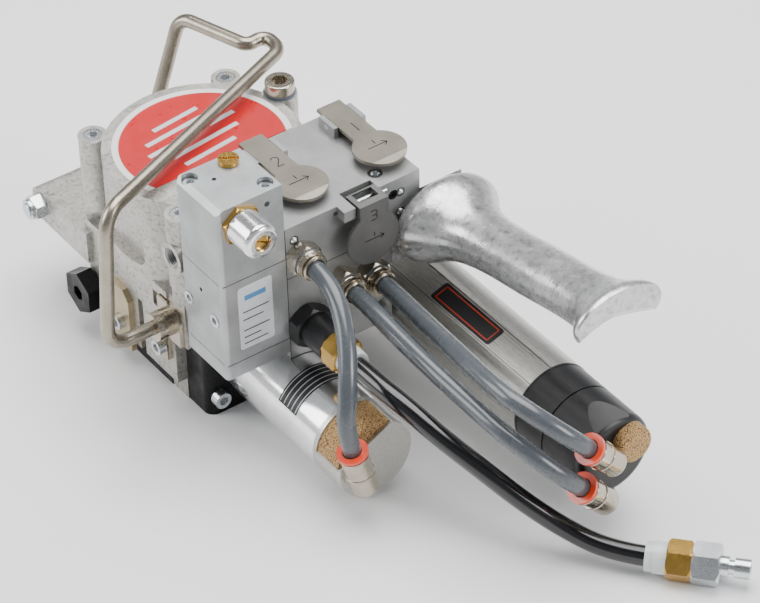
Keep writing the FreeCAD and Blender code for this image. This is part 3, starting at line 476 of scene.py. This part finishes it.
def thread(name, mouth, inward, radius, length, materials):
    """Screw thread crests inside an open port."""
    count = int(length / THREAD_PITCH)
    root, crest, outside = radius - WRAP_SINK, radius - THREAD_DEPTH, radius + SINK
    profile = []
    for k in range(count):
        profile.append((THREAD_START + k * THREAD_PITCH, root))
        profile.append((THREAD_START + (k + 0.5) * THREAD_PITCH, crest))
    end = THREAD_START + count * THREAD_PITCH
    profile += [(end, root), (end, outside), (THREAD_START, outside)]
    lathe(name, mouth, inward, profile, "anodised_block", materials)


def add_fitting_details(materials):
    """Stepped lips, grooves and dark seals on the push-in fittings."""
    lip = ((-0.2, 5.15), (1.5, 5.15), (1.9, 5.5), (1.9, 6.6), (1.4, 7.1), (0.5, 7.1), (0.2, 6.4),
           (-0.2, 6.4))
    rim = ((0, 7.9), (0.7, 7.9), (0.7, 8.25), (0.35, 8.4), (0, 8.25))
    seal = ((0, 7.9), (0.6, 7.9), (0.6, 8.12), (0, 8.12))
    for index, (y, z) in enumerate(FITTINGS, 1):
        lathe(f"fitting_lip_{index}", (13, y, z), X, lip, "nickel", materials)
        lathe(f"fitting_bead_{index}", (9.6, y, z), X, rim, "nickel", materials)
        lathe(f"fitting_seal_{index}", (8.05, y, z), X, seal, "seal_rubber", materials)
    bead = ((0, 7.5), (1.0, 7.5), (1.0, 7.85), (0.5, 8.05), (0, 7.85))
    for name, (ring, inward, waist) in ELBOWS.items():
        for part, depth in (("mouth", ELBOW_MOUTH), ("waist", waist)):
            lathe(f"elbow_{part}_{name}", ring + inward * depth, inward, bead, "nickel", materials)


def add_plugs_and_ports(materials):
    """Steel ball plugs with a ring of painted shade round each, a set screw and the threads of the two open
    ports.
    """
    angles = [math.radians(a) for a in range(0, 91, 10)]
    ball = [(-BALL_R, 0), (-BALL_R, BALL_R)]
    ball += [(BALL_R * math.sin(a) - BALL_BACK, BALL_R * math.cos(a)) for a in angles]
    # painted shade: a thin black ring on the face round each ball stands for the shade in the gap round it
    gap_shade_ring = ((-0.05, 2.1), (0.12, 2.1), (0.12, 2.6), (-0.05, 2.6))
    screw = ((0, 1.2), (0, 2.9), (1.0, 2.9), (1.2, 2.6), (1.2, 1.2))
    for index, (y, z) in enumerate(BALL_PLUGS, 1):
        lathe(f"ball_plug_{index}", (0, y, z), X, ball, "zinc_steel", materials)
        lathe(f"ball_gap_shade_{index}", (0, y, z), X, gap_shade_ring, "black_plastic", materials)
    lathe("set_screw", (-1.4, 107.4, 127.4), X, screw, "black_steel", materials)
    thread("side_port_thread", *SIDE_PORT, materials)
    thread("spare_port_thread", *SPARE_PORT, materials)


def add_seams(materials):
    """Dark joint lines where the blocks meet."""
    rear = [((0, BLOCK_Y, 47), (0, BLOCK_Y, 136)), ((0, 39.7, BLOCK_Z), (0, 104.3, BLOCK_Z))]
    rear += [((0, 0.6, z), (0, 39.3, z)) for z in TIMER_Z]
    strokes("seams_rear", rear, X, 0.45, 0.04, "black_plastic", materials)
    side = [((-38, 0, z), (-2.6, 0, z)) for z in TIMER_Z]
    strokes("seams_side", side, -Y, 0.4, 0.04, "black_plastic", materials)


def lever_marks(name, number, centre, across, down, normal, body, materials):
    """Plain engraved numeral and arrow on a push lever; across and down are unit steps on its face."""
    numerals = {1: [((0, -3), (0, 3))],
                2: [((-2, -2), (-1, -3), (1, -3), (2, -2), (2, -1), (-2, 3), (2, 3))],
                3: [((-2, -3), (1, -3), (2, -2), (2, -1), (1, 0), (2, 1), (2, 2), (1, 3), (-2, 3)),
                    ((-1, 0), (1, 0))]}
    arrow = [((-6, 15), (6, 15)), ((6, 15), (3.6, 13.4)), ((6, 15), (3.6, 16.6)), ((0, 11), (0, 13.6))]
    lines = [[centre + across * a + down * b for a, b in line] for line in (*numerals[number], *arrow)]
    strokes(name, lines, normal, 0.55, 0.05, "black_steel", materials, body)


def add_lever_marks(materials):
    stretched = X * 1.35
    lever_marks("marks_lever_1", 1, Vector((-43, 114.25, LEVER_TOP)), Y, stretched, Z, "lever_1", materials)
    lever_marks("marks_lever_2", 2, Vector((-43, 64.5, LEVER_TOP)), Y, stretched, Z, "lever_2", materials)
    lever_marks("marks_lever_3", 3, Vector((LEVER_3_FACE, 88.2, 129.5)), Y, -Z, X, "lever_3", materials)


def add_label_prints(materials):
    """Plain bars in place of the print on the cover, the timer and the weld motor."""
    slant = 0.125
    lines = [((x, y0, DRUM.z), (x - slant * (y1 - y0), y1, DRUM.z)) for x, y0, y1 in
             ((-119, 36, 66), (-110, 26, 76), (-101, 22, 80), (-92, 26, 76), (-84, 34, 68))]
    strokes("label_bars", lines, Z, 3.0, 0.05, "white_label", materials)
    timer = [((TIMER_LABEL_X, y0, z), (TIMER_LABEL_X, y1, z)) for y0, y1, z in
             ((11.5, 27.5, 96), (11.5, 24, 91), (11.5, 27.5, 84), (11.5, 22, 79.5), (11.5, 26, 75.5))]
    strokes("timer_label_lines", timer, X, 0.7, 0.04, "black_plastic", materials)
    bar = [((TIMER_LABEL_X, 13, 105), (TIMER_LABEL_X, 26, 105))]
    strokes("timer_label_bar", bar, X, 3.2, 0.04, "blue_print", materials)
    thickness, half_line = 0.12, 0.25
    wrapped("weld_label", WELD_AXIS, WELD_R, 11, 27, 64, 152, thickness, "black_plastic", materials)
    for index, x in enumerate((12.3, 15.6, 19.0, 22.3, 25.7), 1):
        wrapped(f"weld_label_line_{index}", WELD_AXIS, WELD_R + thickness, x - half_line, x + half_line,
                66, 150, 0.03, "white_label", materials)


def add_motor_details(materials):
    """Plain badge, painted shade lines along the facet's edges and the dark joint before the cap on the
    tension motor.
    """
    centre = TENSION_AXIS + FACET_NORMAL * FACET
    thickness = 0.25
    corners = [centre + X * x + FACET_ACROSS * a for x, a in ((17, -6), (68, -6), (68, 6), (17, 6))]
    panel("motor_badge", corners, FACET_NORMAL, thickness, 2.0, "black_plastic", materials)
    inner = [centre + FACET_NORMAL * thickness + X * x + FACET_ACROSS * a
             for x, a in ((20, -4.2), (65, -4.2), (65, 4.2), (20, 4.2))]
    strokes("badge_border", [(*inner, inner[0])], FACET_NORMAL, 0.5, 0.04, "red_plastic", materials)
    # painted shade: thin black bars along both edges of the flat facet stand for the shade in its edge
    # grooves
    edges = [centre + FACET_ACROSS * a for a in (-7.0, 7.0)]
    edge_shade_lines = [(edge + X * -35, edge + X * 106) for edge in edges]
    strokes("motor_edge_shade_lines", edge_shade_lines, FACET_NORMAL, 0.35, 0.03, "black_steel", materials)
    collar = ((0, 23.4), (1.2, 23.4), (1.2, 24.05), (0, 24.05))
    lathe("motor_joint", TENSION_AXIS + X * TENSION_JOINT_X, X, collar, "black_plastic", materials,
          steps=FINE_TURN_STEPS)


# ---------------------------------------------------------------- camera, floor and light
def add_camera():
    data = bpy.data.cameras.new("camera")
    data.sensor_width = SENSOR_MM
    data.lens = LENS_MM
    data.clip_start, data.clip_end = CLIP_NEAR, CLIP_FAR
    camera = bpy.data.objects.new("camera", data)
    axes = Matrix((CAMERA_RIGHT, -CAMERA_DOWN, -CAMERA_FORWARD)).transposed()
    camera.matrix_world = Matrix.Translation(CAMERA_AT) @ axes.to_4x4()
    bpy.context.scene.collection.objects.link(camera)
    bpy.context.scene.camera = camera


def add_floor():
    mesh = bpy.data.meshes.new("floor")
    shape = bmesh.new()
    bmesh.ops.create_grid(shape, x_segments=2, y_segments=2, size=FLOOR_HALF_SIDE)
    shape.to_mesh(mesh)
    shape.free()
    m = Nodes("floor", (0.90, 0.90, 0.90), roughness=0.6)
    m.colour(m.noise(3, 2), ((0.3, (0.89, 0.89, 0.89)), (0.7, (0.92, 0.92, 0.92))))
    mesh.materials.append(m.material)
    floor = bpy.data.objects.new("floor", mesh)
    bpy.context.scene.collection.objects.link(floor)


def add_area_light(name, where, size, power):
    data = bpy.data.lights.new(name, "AREA")
    data.size = size
    data.energy = power
    light = bpy.data.objects.new(name, data)
    light.location = where
    light.rotation_euler = (LIGHT_TARGET - Vector(where)).to_track_quat("-Z", "Y").to_euler()
    bpy.context.scene.collection.objects.link(light)


def add_lights():
    add_area_light("overhead", (-0.2, 0.3, 1.5), 1.4, 46)
    add_area_light("left", (-0.9, -1.2, 0.9), 1.0, 20)
    add_area_light("rear", (1.4, 0.8, 0.9), 0.8, 20)
    add_world()


def add_world():
    """Bright near the horizon and darker above, so that metal shows its edges."""
    world = bpy.data.worlds.new("studio")
    world.use_nodes = True
    background = next(n for n in world.node_tree.nodes if n.type == "BACKGROUND")
    nodes, links = world.node_tree.nodes, world.node_tree.links
    direction = nodes.new("ShaderNodeTexCoord")
    split = nodes.new("ShaderNodeSeparateXYZ")
    sky = nodes.new("ShaderNodeValToRGB")
    links.new(direction.outputs["Generated"], split.inputs[0])
    links.new(split.outputs["Z"], sky.inputs[0])
    links.new(sky.outputs["Color"], background.inputs["Color"])
    for stop, level in ((0.12, 0.85), (0.30, 0.16), (0.55, 0.50), (0.80, 0.12)):
        stop_point = sky.color_ramp.elements.new(stop)
        stop_point.color = (level, level * 1.02, level * 1.05, 1.0)
    sky.color_ramp.elements.remove(sky.color_ramp.elements[0])
    sky.color_ramp.elements.remove(sky.color_ramp.elements[-1])
    background.inputs["Strength"].default_value = 0.9
    bpy.context.scene.world = world


materials = make_materials()
dress_nodes(materials)
add_camera()
add_hoses(materials)
add_fitting_details(materials)
add_plugs_and_ports(materials)
add_seams(materials)
add_lever_marks(materials)
add_label_prints(materials)
add_motor_details(materials)
add_floor()
add_lights()
